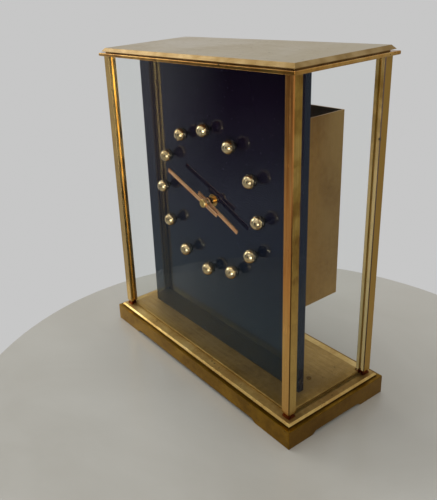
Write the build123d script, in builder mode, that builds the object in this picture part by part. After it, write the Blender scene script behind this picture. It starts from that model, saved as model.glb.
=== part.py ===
from build123d import *
import os
from math import cos, radians, sin

os.makedirs("parts", exist_ok=True)

# A mechanical table clock. A brass frame holds glass on three sides round a dark upright
# panel, which carries the ball markers and hands in front and the movement behind.
# Millimetres: X to the right, Y from the front to the back, Z up. The origin is the middle
# of the foot outline, on the table.

# Plinth: four mitred rails whose ends reach down as bracket feet
case_width = 200.0
case_depth = 88.4
plinth_height = 13.2
rail_thickness = 6.0
front_foot_length = 30.0
side_foot_length = 21.3
foot_slope = 3.0
arch_height = 2.0

# Base plate with its polished bead, and the raised floor plate on it
base_thickness = 2.1
bead_inset = 2.5
bead_bevel = 1.2
undercut_inset = 3.4
undercut_height = 0.7
floor_thickness = 1.7
floor_edge_bevel = 0.4
floor_notch_room = 0.5
glass_to_floor = 0.25

# Square columns on narrow necks, grooved for the glass
column_inset = 5.8
column_size = 6.5
column_edge_bevel = 0.5
neck_height = 3.5
neck_size = 4.6
neck_collar_size = 5.8
neck_collar_height = 1.0
column_length = 206.4
column_screw_radius = 1.2
column_screw_depth = 7.0
glass_thickness = 1.5
groove_play = 0.1
groove_depth = 1.8
groove_end_gap = 0.3

# Top: a frame plate, a narrow dark step and a bevelled slab
frame_thickness = 2.2
frame_inset = 3.1
frame_edge_bevel = 0.3
step_height = 0.9
step_inset = 7.0
slab_inset = 4.8
slab_thickness = 2.4
slab_bevel_width = 2.3
slab_bevel_height = 2.0
slab_screw_radius = 1.5

# Dial panel
panel_side_inset = 19.2
panel_thickness = 4.5
panel_front = -15.7
panel_seat = 0.5
panel_play = 0.1

# Ball markers on the hour ring
pivot_height = 129.3
marker_count = 12
ring_radius = 50.6
ball_radius = 4.75
ball_standoff = 6.1
stem_radius = 1.2
stem_play = 0.1
nut_thickness = 1.6
nut_radius = 2.9
nut_sides = 6
nut_gap = 0.05

# Hands, showing twelve minutes to four
hand_width = 3.1
hand_thickness = 0.8
hand_groove_width = 0.5
hand_groove_depth = 0.3
minute_hand_length = 43.0
minute_hand_tail = 14.6
minute_hand_angle = 291.0
minute_hand_standoff = 7.5
hour_hand_length = 33.0
hour_hand_tail = 10.6
hour_hand_angle = 114.25
hour_hand_standoff = 4.4
collet_radius = 3.0
collet_thickness = 1.3
cap_radius = 2.9
cap_thickness = 1.4
cap_bevel = 0.35
cap_bore_depth = 0.7
bushing_radius = 4.5
bushing_flange_radius = 6.0
bushing_flange_thickness = 0.6

# Movement cover: a bent sheet open at the top and the bottom
cover_half_width = 66.1
cover_height = 125.6
cover_back = 35.1
cover_sheet = 1.0
cover_flange = 7.0
cover_screw_radius = 1.1
cover_screw_margin = 12.0

# Movement plates and pillars
motion_gap = 7.0
plate_thickness = 1.8
plate_half_size = 43.0
plate_gap = 24.0
pillar_inset = 5.0
pillar_radius = 2.6
pillar_screw_radius = 1.0
foot_radius = 2.4
foot_inset_x = 13.0
foot_stud_depth = 2.5
foot_screw_depth = 3.5

# Wheels: tooth counts and modules
tooth_addendum = 0.95
tooth_dedendum = 1.25
tooth_half_root = 0.23
tooth_half_tip = 0.09
barrel_teeth = 72
centre_pinion_teeth = 12
barrel_module = 0.6
centre_teeth = 64
third_pinion_teeth = 8
centre_module = 0.6
third_teeth = 60
escape_pinion_teeth = 8
third_module = 0.5
cannon_teeth = 12
minute_wheel_teeth = 36
cannon_module = 0.5
minute_pinion_teeth = 12
hour_wheel_teeth = 48
hour_module = 0.4
escape_teeth = 30
escape_radius = 9.0
ratchet_teeth = 24
ratchet_radius = 11.0
ratchet_tooth_height = 1.5

# Saw teeth: places along one tooth pitch, as shares of it
ratchet_tip_share = 0.02
ratchet_foot_share = 0.96
escape_heel_share = 0.1
escape_tip_share = 0.24
escape_toe_share = 0.34

# Directions of the arbors from one another, in degrees from X towards Z
barrel_direction = 225.0
third_direction = 45.0
escape_direction = 145.0
minute_wheel_direction = 60.0
lever_direction = 180.0
lever_distance = 11.0
balance_distance = 12.0

# Heights of the wheels above the front plate, between the plates
great_wheel_level = 1.0
great_wheel_thickness = 2.0
drum_length = 13.6
drum_radius = 20.0
drum_wall = 1.0
drum_web = 1.0
centre_wheel_level = 18.0
third_wheel_level = 5.0
escape_wheel_level = 11.0
balance_level = 14.5
hairspring_level = 18.0
wheel_thickness = 1.4
thin_wheel_thickness = 1.0
pinion_overhang = 0.6
rim_width = 2.0
spoke_width = 1.6
spoke_count = 4
hub_radius = 3.0
escape_tooth_height = 1.0
escape_rim_width = 1.0

# Arbors
pivot_radius = 0.9
arbor_radius = 1.4
pivot_play = 0.05
end_shake = 0.2
fit_play = 0.02
small_pivot_radius = 0.5
small_arbor_radius = 1.0

# Motion work in front of the front plate
cannon_bore_play = 0.05
cannon_radius = 1.6
hour_tube_play = 0.06
hour_tube_radius = 2.6
cannon_pinion_length = 2.6
minute_wheel_thickness = 1.0
hour_wheel_thickness = 1.0
motion_side_gap = 0.4
stud_radius = 1.0
stud_head_radius = 2.0

# Winding arbor, mainspring, ratchet work, key and setting knob
winding_radius = 2.2
winding_hub_radius = 4.5
mainspring_turns = 9
mainspring_ribbon = 0.35
ratchet_thickness = 1.5
ratchet_gap = 0.3
click_distance = 16.0
click_direction = 60.0
click_lead = 45.0
click_side_gap = 1.0
click_eye_radius = 2.2
click_thickness = 1.5
click_gap = 0.25
click_nose_rise = 1.1
click_spring_wire = 0.5
click_spring_radius = 1.9
click_spring_arm = 7.0
click_spring_foot = 5.0
click_spring_arm_direction = 149.0
click_spring_foot_direction = -60.0
click_head_thickness = 1.0
key_stem_radius = 3.2
key_wing_span = 19.0
key_wing_length = 5.0
key_wing_thickness = 1.6
key_wing_bevel = 0.8
key_length = 8.2
key_gap = 0.5
knob_radius = 4.2
knob_length = 5.0
knob_flutes = 16
flute_radius = 0.5
cover_hole_play = 1.0

# Balance, lever and hairspring
balance_radius = 10.0
balance_rim = 1.2
balance_thickness = 2.0
roller_radius = 3.0
roller_thickness = 0.8
impulse_pin_radius = 0.3
impulse_pin_place = 2.0
lever_width = 1.6
lever_fork_width = 3.2
lever_fork_length = 3.2
fork_slot_depth = 1.6
pin_play = 0.12
pallet_reach = 0.15
pallet_half_span = 15.0
pallet_width = 0.5
pallet_length = 1.0
pallet_bar_width = 0.8
balance_hub_radius = 1.5
hairspring_turns = 5
hairspring_inner = 1.6
hairspring_outer = 5.0
hairspring_ribbon = 0.2
hairspring_height = 0.6
stud_size = 1.6

# Visible floor screws
floor_screw_x = 74.8
floor_screw_y = 0.8
floor_screw_radius = 1.7
floor_screw_head = 0.5
floor_screw_bevel = 0.25
slot_length = 4.4
slot_width = 0.4
slot_depth = 0.3
slot_turn = 30.0

# Heights worked out from the sizes above
ledge_z = plinth_height + base_thickness
floor_z = ledge_z + floor_thickness
column_z = ledge_z + neck_height
frame_z = column_z + column_length
step_z = frame_z + frame_thickness
slab_z = step_z + step_height
panel_back = panel_front + panel_thickness
front_plate_front = panel_back + motion_gap
front_plate_back = front_plate_front + plate_thickness
back_plate_front = front_plate_back + plate_gap
back_plate_back = back_plate_front + plate_thickness
half_width = case_width / 2
half_depth = case_depth / 2
panel_width = case_width - 2 * panel_side_inset
pillar_place = plate_half_size - pillar_inset
foot_place_x = plate_half_size - foot_inset_x
foot_place_z = plate_half_size - pillar_inset
column_x = half_width - column_inset - column_size / 2
column_y = half_depth - column_inset - column_size / 2
floor_half_width = column_x - glass_thickness / 2 - glass_to_floor
floor_half_depth = column_y - glass_thickness / 2 - glass_to_floor
column_places = {
    "front_left": (-column_x, -column_y),
    "front_right": (column_x, -column_y),
    "back_left": (-column_x, column_y),
    "back_right": (column_x, column_y),
}


def finish(piece, name):
    """Label a finished piece and write its file."""
    piece.part.label = name
    export_step(piece.part, f"parts/{name}.step")


def upright(y):
    """The plane at depth y that faces the front: its X is X and its Y is Z."""
    return Plane.XZ.offset(-y)


def from_point(origin, distance, direction):
    """The point at a distance and direction, in degrees, from an origin."""
    turn = radians(direction)
    return (origin[0] + distance * cos(turn), origin[1] + distance * sin(turn))


def clockwise(origin, distance, angle):
    """The point at a clock angle, clockwise from straight up."""
    return from_point(origin, distance, 90 - angle)


def teeth_outline(centre, teeth, module, direction):
    """A wheel's outline with slender straight teeth, one of them pointing in the direction."""
    pitch_radius = teeth * module / 2
    root = pitch_radius - tooth_dedendum * module
    tip = pitch_radius + tooth_addendum * module
    corners = (
        (root, -tooth_half_root), (tip, -tooth_half_tip), (tip, tooth_half_tip), (root, tooth_half_root)
    )
    return [
        from_point(centre, radius, direction + (tooth + share) * 360 / teeth)
        for tooth in range(teeth)
        for radius, share in corners
    ]


def crossed_wheel(centre, teeth, module, direction, depth, thickness, bore):
    """A toothed rim on spokes, with a hub and a bore, from the depth towards the back."""
    rim_inside = teeth * module / 2 - tooth_dedendum * module - rim_width
    with BuildPart() as wheel:
        with BuildSketch(upright(depth + thickness)):
            Polygon(*teeth_outline(centre, teeth, module, direction), align=None)
            with Locations(centre):
                Circle(rim_inside, mode=Mode.SUBTRACT)
                Circle(hub_radius)
                for spoke in range(spoke_count // 2):
                    Rectangle(2 * rim_inside + rim_width, spoke_width, rotation=spoke * 360 / spoke_count)
                Circle(bore, mode=Mode.SUBTRACT)
        extrude(amount=thickness)
    return wheel


def stepped_rod(centre, stretches):
    """A turned rod along Y: each stretch is (first depth, last depth, radius)."""
    with BuildPart() as rod:
        for first, last, radius in stretches:
            with BuildSketch(upright(last)):
                with Locations(centre):
                    Circle(radius)
            extrude(amount=last - first)
    return rod


def mesh_phase(direction, teeth):
    """The direction of a pinion's tooth beside the gap that faces back along a line of centres."""
    return direction + 180 + 180 / teeth


# Places of the arbors, as (X, Z)
centre_at = (0.0, pivot_height)
barrel_at = from_point(centre_at, (barrel_teeth + centre_pinion_teeth) * barrel_module / 2, barrel_direction)
third_at = from_point(centre_at, (centre_teeth + third_pinion_teeth) * centre_module / 2, third_direction)
escape_at = from_point(third_at, (third_teeth + escape_pinion_teeth) * third_module / 2, escape_direction)
minute_wheel_at = from_point(
    centre_at, (cannon_teeth + minute_wheel_teeth) * cannon_module / 2, minute_wheel_direction
)
lever_at = from_point(escape_at, lever_distance, lever_direction)
balance_at = from_point(lever_at, balance_distance, lever_direction)
click_at = from_point(barrel_at, click_distance, click_direction - click_lead)


# Plinth rails: the outline of each rail is drawn flat, mitred at 45 degrees at both ends, and
# the arch between its feet is cut through it
def plinth_rail(half_length, outer, foot_length, along_x, side):
    """One rail at the side (-1 or 1), with its outer face at the distance outer."""
    inner = outer - rail_thickness
    short = half_length - rail_thickness
    plan = [(-half_length, outer), (half_length, outer), (short, inner), (-short, inner)]
    plan = [(u, side * v) if along_x else (side * v, u) for u, v in plan]
    reach = half_length - foot_length
    arch = [(-reach, 0), (-reach + foot_slope, arch_height), (reach - foot_slope, arch_height), (reach, 0)]
    arch_plane = Plane.XZ if along_x else Plane.YZ
    with BuildPart() as rail:
        with BuildSketch(Plane.XY):
            Polygon(*plan, align=None)
        extrude(amount=plinth_height)
        with BuildSketch(arch_plane):
            Polygon(*arch, align=None)
        extrude(amount=2 * outer, both=True, mode=Mode.SUBTRACT)
    return rail


finish(plinth_rail(half_width, half_depth, front_foot_length, True, -1), "plinth_front")
finish(plinth_rail(half_width, half_depth, front_foot_length, True, 1), "plinth_back")
finish(plinth_rail(half_depth, half_width, side_foot_length, False, -1), "plinth_left")
finish(plinth_rail(half_depth, half_width, side_foot_length, False, 1), "plinth_right")

# Base plate: an undercut below, then the polished bead with its bevel
with BuildPart() as base_plate:
    with BuildSketch(Plane.XY.offset(plinth_height)):
        Rectangle(case_width - 2 * undercut_inset, case_depth - 2 * undercut_inset)
    extrude(amount=undercut_height)
    with BuildSketch(Plane.XY.offset(plinth_height + undercut_height)):
        Rectangle(case_width - 2 * bead_inset, case_depth - 2 * bead_inset)
    extrude(amount=base_thickness - undercut_height)
    bead_edges = base_plate.edges().group_by(Axis.Z)[-1]
    chamfer(bead_edges, bead_bevel)
    with Locations(*[(x, y, ledge_z) for x, y in column_places.values()]):
        Hole(column_screw_radius, depth=base_thickness)
    with Locations((-floor_screw_x, floor_screw_y, ledge_z), (floor_screw_x, floor_screw_y, ledge_z)):
        Hole(column_screw_radius, depth=base_thickness)
finish(base_plate, "base_plate")

# Floor plate, with a shallow seat for the panel and two countersunk screws
with BuildPart() as floor_plate:
    with BuildSketch(Plane.XY.offset(ledge_z)):
        Rectangle(2 * floor_half_width, 2 * floor_half_depth)
    extrude(amount=floor_thickness)
    chamfer(floor_plate.edges().group_by(Axis.Z)[-1], floor_edge_bevel)
    with BuildSketch(Plane.XY.offset(floor_z - panel_seat)):
        with Locations((0, (panel_front + panel_back) / 2)):
            Rectangle(panel_width + 2 * panel_play, panel_thickness + 2 * panel_play)
    extrude(amount=panel_seat, mode=Mode.SUBTRACT)
    with BuildSketch(Plane.XY.offset(floor_z)):
        with Locations(*[(x, y) for x, y in column_places.values()]):
            Rectangle(column_size + 2 * floor_notch_room, column_size + 2 * floor_notch_room)
    extrude(amount=-floor_thickness, mode=Mode.SUBTRACT)
    with Locations((-floor_screw_x, floor_screw_y, floor_z), (floor_screw_x, floor_screw_y, floor_z)):
        Hole(column_screw_radius + panel_play, depth=floor_thickness)
finish(floor_plate, "floor_plate")

with BuildPart() as floor_screws:
    with BuildSketch(Plane.XY.offset(plinth_height)):
        with Locations((-floor_screw_x, floor_screw_y), (floor_screw_x, floor_screw_y)):
            Circle(column_screw_radius - panel_play)
    extrude(amount=base_thickness + floor_thickness)
    with BuildSketch(Plane.XY.offset(floor_z)):
        with Locations((-floor_screw_x, floor_screw_y), (floor_screw_x, floor_screw_y)):
            Circle(floor_screw_radius)
    extrude(amount=floor_screw_head)
    chamfer(floor_screws.edges().group_by(Axis.Z)[-1], floor_screw_bevel)
    with BuildSketch(Plane.XY.offset(floor_z + floor_screw_head)):
        with Locations((-floor_screw_x, floor_screw_y), (floor_screw_x, floor_screw_y)):
            Rectangle(slot_length, slot_width, rotation=slot_turn)
    extrude(amount=-slot_depth, mode=Mode.SUBTRACT)
finish(floor_screws, "floor_screws")


def glass_grooves(x, y):
    """Middle and size, in plan, of each glass groove of the column at (x, y)."""
    width = glass_thickness + 2 * groove_play
    reach = (column_size - groove_depth) / 2
    grooves = [((x, y - reach if y > 0 else y + reach), (width, groove_depth))]
    if y < 0:
        grooves.append(((x - reach if x > 0 else x + reach, y), (groove_depth, width)))
    return grooves


# Columns: square, with bevelled long edges, a screw hole in each end and a groove for each pane
for place, (x, y) in column_places.items():
    with BuildPart() as column:
        with BuildSketch(Plane.XY.offset(column_z)):
            with Locations((x, y)):
                Rectangle(column_size, column_size)
        extrude(amount=column_length)
        chamfer(column.edges().filter_by(Axis.Z), column_edge_bevel)
        with BuildSketch(Plane.XY.offset(column_z)):
            for middle, size in glass_grooves(x, y):
                with Locations(middle):
                    Rectangle(*size)
        extrude(amount=column_length, mode=Mode.SUBTRACT)
        with Locations((x, y, frame_z)):
            Hole(column_screw_radius, depth=column_screw_depth)
        with Locations((x, y, column_z + column_screw_depth)):
            Hole(column_screw_radius, depth=column_screw_depth)
    finish(column, f"column_{place}")

# Necks under the columns, each with a thin collar on the base plate
with BuildPart() as column_necks:
    with BuildSketch(Plane.XY.offset(ledge_z)):
        with Locations(*column_places.values()):
            Rectangle(neck_collar_size, neck_collar_size)
            Circle(column_screw_radius + panel_play, mode=Mode.SUBTRACT)
    extrude(amount=neck_collar_height)
    with BuildSketch(Plane.XY.offset(ledge_z + neck_collar_height)):
        with Locations(*column_places.values()):
            Rectangle(neck_size, neck_size)
            Circle(column_screw_radius + panel_play, mode=Mode.SUBTRACT)
    extrude(amount=neck_height - neck_collar_height)
    with BuildSketch(Plane.XY.offset(ledge_z)):
        for x, y in column_places.values():
            for middle, size in glass_grooves(x, y):
                with Locations(middle):
                    Rectangle(*size)
    extrude(amount=neck_height, mode=Mode.SUBTRACT)
finish(column_necks, "column_necks")

# Long screws that run up through the base plate and the necks into the columns
with BuildPart() as column_screws:
    with BuildSketch(Plane.XY.offset(plinth_height)):
        with Locations(*column_places.values()):
            Circle(column_screw_radius - fit_play)
    extrude(amount=base_thickness + neck_height + column_screw_depth - groove_end_gap)
finish(column_screws, "column_screws")

# Glass panes: they stand on the base plate in the column grooves, under the top frame
pane_bottom = ledge_z
pane_height = frame_z - ledge_z
front_pane_width = 2 * column_x - column_size + 2 * groove_depth - 2 * groove_end_gap
side_pane_width = 2 * column_y - column_size + 2 * groove_depth - 2 * groove_end_gap

with BuildPart() as glass_front:
    with BuildSketch(Plane.XY.offset(pane_bottom)):
        with Locations((0, -column_y)):
            Rectangle(front_pane_width, glass_thickness)
    extrude(amount=pane_height)
finish(glass_front, "glass_front")

for name, side in (("glass_left", -1), ("glass_right", 1)):
    with BuildPart() as glass_side:
        with BuildSketch(Plane.XY.offset(pane_bottom)):
            with Locations((side * column_x, 0)):
                Rectangle(glass_thickness, side_pane_width)
        extrude(amount=pane_height)
    finish(glass_side, name)

# Top frame plate, seated on the columns, with a groove below for the panel's top edge
with BuildPart() as top_frame:
    with BuildSketch(Plane.XY.offset(frame_z)):
        Rectangle(case_width - 2 * frame_inset, case_depth - 2 * frame_inset)
    extrude(amount=frame_thickness)
    chamfer(top_frame.edges().group_by(Axis.Z)[0], frame_edge_bevel)
    chamfer(top_frame.edges().group_by(Axis.Z)[-1], frame_edge_bevel)
    with BuildSketch(Plane.XY.offset(frame_z)):
        with Locations((0, (panel_front + panel_back) / 2)):
            Rectangle(panel_width + 2 * panel_play, panel_thickness + 2 * panel_play)
    extrude(amount=panel_seat, mode=Mode.SUBTRACT)
    with Locations(*[(x, y, step_z) for x, y in column_places.values()]):
        Hole(slab_screw_radius, depth=frame_thickness)
finish(top_frame, "top_frame")

# Bevelled slab, with the narrow step under it that leaves a dark line
with BuildPart() as top_slab:
    with BuildSketch(Plane.XY.offset(step_z)):
        Rectangle(case_width - 2 * step_inset, case_depth - 2 * step_inset)
    extrude(amount=step_height)
    with BuildSketch(Plane.XY.offset(slab_z)):
        Rectangle(case_width - 2 * slab_inset, case_depth - 2 * slab_inset)
    extrude(amount=slab_thickness)
    slab_edges = top_slab.edges().group_by(Axis.Z)[-1]
    chamfer(slab_edges, slab_bevel_height, slab_bevel_width, reference=top_slab.faces().sort_by(Axis.Z)[-1])
finish(top_slab, "top_slab")

# Screws that hold the top frame down on the columns, hidden under the slab
with BuildPart() as frame_screws:
    with BuildSketch(Plane.XY.offset(frame_z)):
        with Locations(*column_places.values()):
            Circle(slab_screw_radius - fit_play)
    extrude(amount=frame_thickness)
    with BuildSketch(Plane.XY.offset(frame_z)):
        with Locations(*column_places.values()):
            Circle(column_screw_radius - fit_play)
    extrude(amount=-(column_screw_depth - groove_end_gap))
finish(frame_screws, "frame_screws")

# Dial panel, seated in the floor plate and the top frame
marker_places = [
    clockwise(centre_at, ring_radius, hour * 360 / marker_count) for hour in range(marker_count)
]
foot_places = [(i * foot_place_x, pivot_height + j * foot_place_z) for i in (-1, 1) for j in (-1, 1)]
cover_bottom = pivot_height - cover_height / 2
cover_top = pivot_height + cover_height / 2
flange_x = cover_half_width - cover_sheet - cover_flange / 2
cover_screw_places = [
    (side * flange_x, z)
    for side in (-1, 1)
    for z in (cover_bottom + cover_screw_margin, cover_top - cover_screw_margin)
]
panel_bottom = floor_z - panel_seat + panel_play
panel_top = frame_z + panel_seat - panel_play

with BuildPart() as dial_panel:
    with BuildSketch(upright(panel_back)):
        with Locations((0, (panel_bottom + panel_top) / 2)):
            Rectangle(panel_width, panel_top - panel_bottom)
        with Locations(*marker_places):
            Circle(stem_radius + stem_play, mode=Mode.SUBTRACT)
        with Locations(centre_at):
            Circle(bushing_radius + panel_play, mode=Mode.SUBTRACT)
    extrude(amount=panel_thickness)
    with BuildSketch(upright(panel_back)):
        with Locations(*foot_places):
            Circle(stem_radius + stem_play)
        with Locations(*cover_screw_places):
            Circle(cover_screw_radius + stem_play)
    extrude(amount=foot_stud_depth, mode=Mode.SUBTRACT)
finish(dial_panel, "dial_panel")

# Ball markers, each turned in one piece with its stem, and the nuts behind the panel
stem_end = panel_back + nut_thickness + nut_gap
with BuildPart() as hour_markers:
    with BuildSketch(upright(stem_end)):
        with Locations(*marker_places):
            Circle(stem_radius)
    extrude(amount=stem_end - panel_front + ball_standoff)
    with Locations(*[(x, panel_front - ball_standoff, z) for x, z in marker_places]):
        Sphere(ball_radius)
finish(hour_markers, "hour_markers")

with BuildPart() as marker_nuts:
    with BuildSketch(upright(panel_back + nut_gap + nut_thickness)):
        with Locations(*marker_places):
            RegularPolygon(nut_radius, nut_sides)
            Circle(stem_radius + nut_gap, mode=Mode.SUBTRACT)
    extrude(amount=nut_thickness)
finish(marker_nuts, "marker_nuts")

# Bushing that lines the panel's centre hole, with its flange behind the panel
hour_bore = cannon_radius + hour_tube_play
bushing_bore = hour_tube_radius + hour_tube_play
with BuildPart() as dial_bushing:
    with BuildSketch(upright(panel_back)):
        with Locations(centre_at):
            Circle(bushing_radius)
            Circle(bushing_bore, mode=Mode.SUBTRACT)
    extrude(amount=panel_thickness)
    with BuildSketch(upright(panel_back + bushing_flange_thickness)):
        with Locations(centre_at):
            Circle(bushing_flange_radius)
            Circle(bushing_bore, mode=Mode.SUBTRACT)
    extrude(amount=bushing_flange_thickness)
finish(dial_bushing, "dial_bushing")


# Hands: flat bars with square ends and a groove down the middle, on round collets
def hand(length, tail, angle, depth, bore, grooved_from):
    """A hand whose back face is at the depth, with a bore at the centre arbor."""
    middle = clockwise(centre_at, (length - tail) / 2, angle)
    with BuildPart() as bar:
        with BuildSketch(upright(depth)):
            with Locations(middle):
                Rectangle(length + tail, hand_width, rotation=90 - angle)
            with Locations(centre_at):
                Circle(collet_radius)
                Circle(bore, mode=Mode.SUBTRACT)
        extrude(amount=hand_thickness)
        for start, stop in ((grooved_from, length), (-tail, -grooved_from)):
            with BuildSketch(upright(depth - hand_thickness)):
                with Locations(clockwise(centre_at, (start + stop) / 2, angle)):
                    Rectangle(stop - start, hand_groove_width, rotation=90 - angle)
            extrude(amount=-hand_groove_depth, mode=Mode.SUBTRACT)
    return bar


hour_hand_back = panel_front - hour_hand_standoff
minute_hand_back = panel_front - minute_hand_standoff
arbor_bore = pivot_radius + cannon_bore_play
tube_bore = hour_tube_radius + fit_play
hour_hand = hand(
    hour_hand_length, hour_hand_tail, hour_hand_angle, hour_hand_back, tube_bore, collet_radius
)
finish(hour_hand, "hour_hand")
minute_hand = hand(
    minute_hand_length, minute_hand_tail, minute_hand_angle, minute_hand_back, arbor_bore, collet_radius
)
finish(minute_hand, "minute_hand")

# Collar behind the hour hand, which grips the hour wheel's tube
with BuildPart() as hour_collet:
    with BuildSketch(upright(hour_hand_back + collet_thickness)):
        with Locations(centre_at):
            Circle(collet_radius)
            Circle(tube_bore, mode=Mode.SUBTRACT)
    extrude(amount=collet_thickness)
finish(hour_collet, "hour_collet")

# Cap on the centre arbor's end, which holds the minute hand on
minute_hand_front = minute_hand_back - hand_thickness
arbor_end = minute_hand_front - cap_bore_depth
with BuildPart() as hand_cap:
    with BuildSketch(upright(minute_hand_front)):
        with Locations(centre_at):
            Circle(cap_radius)
    extrude(amount=cap_thickness)
    chamfer(hand_cap.edges().group_by(Axis.Y)[0], cap_bevel)
    with BuildSketch(upright(minute_hand_front)):
        with Locations(centre_at):
            Circle(arbor_bore)
    extrude(amount=cap_bore_depth, mode=Mode.SUBTRACT)
finish(hand_cap, "hand_cap")

# Motion work: cannon pinion, minute wheel on its stud, hour wheel with its tube
cannon_back = front_plate_front - motion_side_gap
cannon_pinion_front = cannon_back - cannon_pinion_length
cannon_pinion_direction = minute_wheel_direction + 180 / cannon_teeth
hour_wheel_front = panel_back + bushing_flange_thickness + motion_side_gap
minute_wheel_back = cannon_back - motion_side_gap
minute_wheel_front = minute_wheel_back - minute_wheel_thickness

with BuildPart() as cannon_pinion:
    with BuildSketch(upright(cannon_back)):
        Polygon(*teeth_outline(centre_at, cannon_teeth, cannon_module, cannon_pinion_direction), align=None)
        with Locations(centre_at):
            Circle(arbor_bore, mode=Mode.SUBTRACT)
    extrude(amount=cannon_pinion_length)
    with BuildSketch(upright(cannon_pinion_front)):
        with Locations(centre_at):
            Circle(cannon_radius)
            Circle(arbor_bore, mode=Mode.SUBTRACT)
    extrude(amount=cannon_pinion_front - minute_hand_back)
finish(cannon_pinion, "cannon_pinion")

with BuildPart() as minute_wheel:
    with BuildSketch(upright(minute_wheel_back)):
        Polygon(
            *teeth_outline(minute_wheel_at, minute_wheel_teeth, cannon_module, minute_wheel_direction + 180),
            align=None,
        )
        with Locations(minute_wheel_at):
            Circle(stud_radius + pivot_play, mode=Mode.SUBTRACT)
    extrude(amount=minute_wheel_thickness)
    with BuildSketch(upright(minute_wheel_front)):
        Polygon(
            *teeth_outline(minute_wheel_at, minute_pinion_teeth, hour_module, minute_wheel_direction + 180),
            align=None,
        )
        with Locations(minute_wheel_at):
            Circle(stud_radius + pivot_play, mode=Mode.SUBTRACT)
    extrude(amount=minute_wheel_front - hour_wheel_front)
finish(minute_wheel, "minute_wheel")

minute_stud = stepped_rod(
    minute_wheel_at,
    (
        (hour_wheel_front, front_plate_back, stud_radius),
        (minute_wheel_back + motion_side_gap / 2, front_plate_front, stud_head_radius),
    ),
)
finish(minute_stud, "minute_wheel_stud")

with BuildPart() as hour_wheel:
    with BuildSketch(upright(hour_wheel_front + hour_wheel_thickness)):
        Polygon(
            *teeth_outline(
                centre_at, hour_wheel_teeth, hour_module, minute_wheel_direction + 180 / hour_wheel_teeth
            ),
            align=None,
        )
        with Locations(centre_at):
            Circle(hour_bore, mode=Mode.SUBTRACT)
    extrude(amount=hour_wheel_thickness)
    with BuildSketch(upright(hour_wheel_front)):
        with Locations(centre_at):
            Circle(hour_tube_radius)
            Circle(hour_bore, mode=Mode.SUBTRACT)
    extrude(amount=hour_wheel_front - hour_hand_back + hand_thickness)
finish(hour_wheel, "hour_wheel")

# Movement feet: studs into the back of the panel, and screws through the front plate
with BuildPart() as movement_feet:
    with BuildSketch(upright(front_plate_front)):
        with Locations(*foot_places):
            Circle(foot_radius)
    extrude(amount=motion_gap)
    with BuildSketch(upright(panel_back)):
        with Locations(*foot_places):
            Circle(stem_radius)
    extrude(amount=foot_stud_depth - panel_play)
    with BuildSketch(upright(front_plate_front)):
        with Locations(*foot_places):
            Circle(pillar_screw_radius + fit_play)
    extrude(amount=foot_screw_depth, mode=Mode.SUBTRACT)
finish(movement_feet, "movement_feet")

with BuildPart() as foot_screws:
    with BuildSketch(upright(front_plate_back)):
        with Locations(*foot_places):
            Circle(pillar_screw_radius)
    extrude(amount=plate_thickness + foot_screw_depth - groove_end_gap)
    with BuildSketch(upright(front_plate_back + floor_screw_head)):
        with Locations(*foot_places):
            Circle(floor_screw_radius)
    extrude(amount=floor_screw_head)
finish(foot_screws, "foot_screws")

# Movement plates, drilled for the pillars and for every arbor
pillar_places = [(i * pillar_place, pivot_height + j * pillar_place) for i in (-1, 1) for j in (-1, 1)]
arbor_holes = (
    (centre_at, pivot_radius + pivot_play),
    (third_at, pivot_radius + pivot_play),
    (escape_at, small_pivot_radius + pivot_play),
    (lever_at, small_pivot_radius + pivot_play),
    (balance_at, small_pivot_radius + pivot_play),
    (barrel_at, winding_radius + pivot_play),
)


def movement_plate(depth, own_holes):
    """A square plate from the depth towards the back, with the shared holes and its own."""
    with BuildPart() as plate:
        with BuildSketch(upright(depth + plate_thickness)):
            with Locations(centre_at):
                Rectangle(2 * plate_half_size, 2 * plate_half_size)
            with Locations(*pillar_places):
                Circle(pillar_screw_radius + fit_play, mode=Mode.SUBTRACT)
            for place, radius in own_holes:
                with Locations(place):
                    Circle(radius, mode=Mode.SUBTRACT)
        extrude(amount=plate_thickness)
    return plate


foot_holes = tuple((place, pillar_screw_radius + fit_play) for place in foot_places)
stud_hole = ((minute_wheel_at, stud_radius + fit_play),)
click_hole = ((click_at, stud_radius + fit_play),)
finish(movement_plate(front_plate_front, arbor_holes + foot_holes + stud_hole), "front_plate")
finish(movement_plate(back_plate_front, arbor_holes + click_hole), "back_plate")

with BuildPart() as plate_pillars:
    with BuildSketch(upright(back_plate_front)):
        with Locations(*pillar_places):
            Circle(pillar_radius)
            Circle(pillar_screw_radius + fit_play, mode=Mode.SUBTRACT)
    extrude(amount=plate_gap)
finish(plate_pillars, "plate_pillars")

with BuildPart() as pillar_screws:
    with BuildSketch(upright(back_plate_back)):
        with Locations(*pillar_places):
            Circle(pillar_screw_radius)
    extrude(amount=2 * plate_thickness + plate_gap)
    with BuildSketch(upright(back_plate_back + floor_screw_head)):
        with Locations(*pillar_places):
            Circle(floor_screw_radius)
    extrude(amount=floor_screw_head)
finish(pillar_screws, "pillar_screws")


def level(height):
    """Depth of a height measured from the back of the front plate."""
    return front_plate_back + height


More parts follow.
